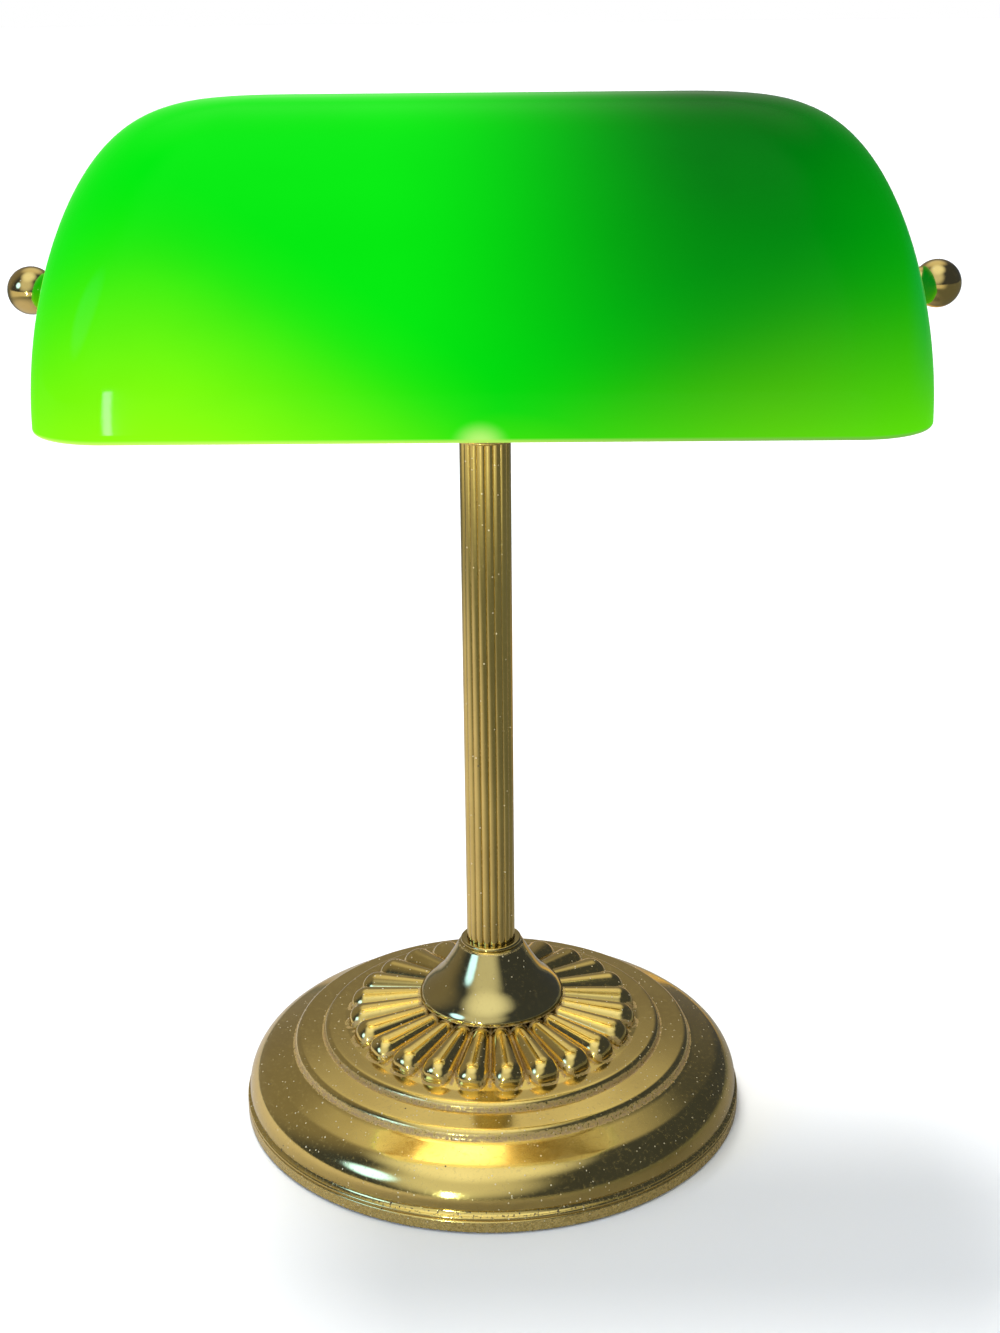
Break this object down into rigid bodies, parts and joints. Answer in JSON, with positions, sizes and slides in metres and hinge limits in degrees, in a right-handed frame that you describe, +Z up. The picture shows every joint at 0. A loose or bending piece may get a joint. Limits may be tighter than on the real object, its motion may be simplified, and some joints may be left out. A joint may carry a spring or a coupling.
{
  "type": "banker desk lamp",
  "caption": "Desk lamp with a trough-shaped cased-glass shade that tilts in a yoke on a reeded column and a round weighted base.",
  "frame": {"origin": "centre of the felt's underside, on the column's axis", "axes": "+Z up along the column, +X along the shade and its tilt axis, +Y towards the back, where the cord enters"},
  "size_m": [0.287, 0.168, 0.3319],
  "materials": {
    "base_brass": "polished, aged",
    "collar_brass": "polished, aged",
    "column_brass": "polished, aged",
    "cup_brass": "polished, aged",
    "yoke_brass": "satin",
    "knob_brass": "polished",
    "socket_brass": "satin",
    "weight_iron": "as cast, painted black",
    "steel": "zinc plated",
    "washer_rubber": "matte",
    "inlet_rubber": "matte",
    "bush_plastic": "matte",
    "felt": "felt",
    "shade_glass": "polished, cased green over white",
    "bulb_glass": "clear",
    "mount_glass": "clear",
    "filament_wire": "hot wire",
    "insulator": "gloss",
    "socket_core": "moulded phenolic",
    "socket_liner": "fibre board",
    "switch_plastic": "gloss",
    "switch_steel": "zinc plated",
    "lead_live": "insulation",
    "lead_neutral": "insulation"
  },
  "bodies": {
    "stand": {"base_shell": "base_brass", "stem_collar": "collar_brass", "stem_tube": "column_brass", "stem_cup": "cup_brass", "yoke": "yoke_brass", "socket_bracket": "yoke_brass", "socket_cap": "socket_brass", "socket_shell": "socket_brass", "centre_contact": "socket_brass", "bulb_cap": "socket_brass", "socket_screw_shell": "socket_brass", "base_weight": "weight_iron", "base_plate": "steel", "threaded_rod": "steel", "base_nut": "steel", "base_lock_washer": "steel", "top_nut": "steel", "top_lock_washer": "steel", "socket_nipple": "steel", "socket_nipple_nut": "steel", "pivot_stud_left": "steel", "pivot_stud_right": "steel", "terminal_screws": "steel", "cord_bushing": "inlet_rubber", "lead_grommet": "inlet_rubber", "felt_pad": "felt", "bulb_glass": "bulb_glass", "bulb_mount": "mount_glass", "bulb_filament": "filament_wire", "bulb_tip": "insulator", "socket_core": "socket_core", "socket_liner": "socket_liner", "lead_live": "lead_live", "lead_neutral": "lead_neutral"},
    "shade": {"shade_glass": "shade_glass", "inner_washer_left": "washer_rubber", "inner_washer_right": "washer_rubber", "outer_washer_left": "washer_rubber", "outer_washer_right": "washer_rubber", "shade_bush_left": "bush_plastic", "shade_bush_right": "bush_plastic"},
    "knob_left": {"ball_knob_left": "knob_brass"},
    "knob_right": {"ball_knob_right": "knob_brass"},
    "switch": {"switch_shaft": "switch_steel", "switch_knob": "switch_plastic"}
  },
  "joints": [
    {"name": "shade_tilt", "type": "hinge", "parent": "stand", "child": "shade", "pos_m": [0, 0, 0.27603], "axis": [1, 0, 0], "range_deg": [-40, 40]},
    {"name": "knob_left_turn", "type": "hinge", "parent": "stand", "child": "knob_left", "pos_m": [-0.1351, 0, 0.27603], "axis": [-1, 0, 0], "continuous": true},
    {"name": "knob_right_turn", "type": "hinge", "parent": "stand", "child": "knob_right", "pos_m": [0.1351, 0, 0.27603], "axis": [1, 0, 0], "continuous": true},
    {"name": "switch_turn", "type": "hinge", "parent": "stand", "child": "switch", "pos_m": [0.04932, 0.02, 0.28003], "axis": [0, 1, 0], "continuous": true}
  ]
}
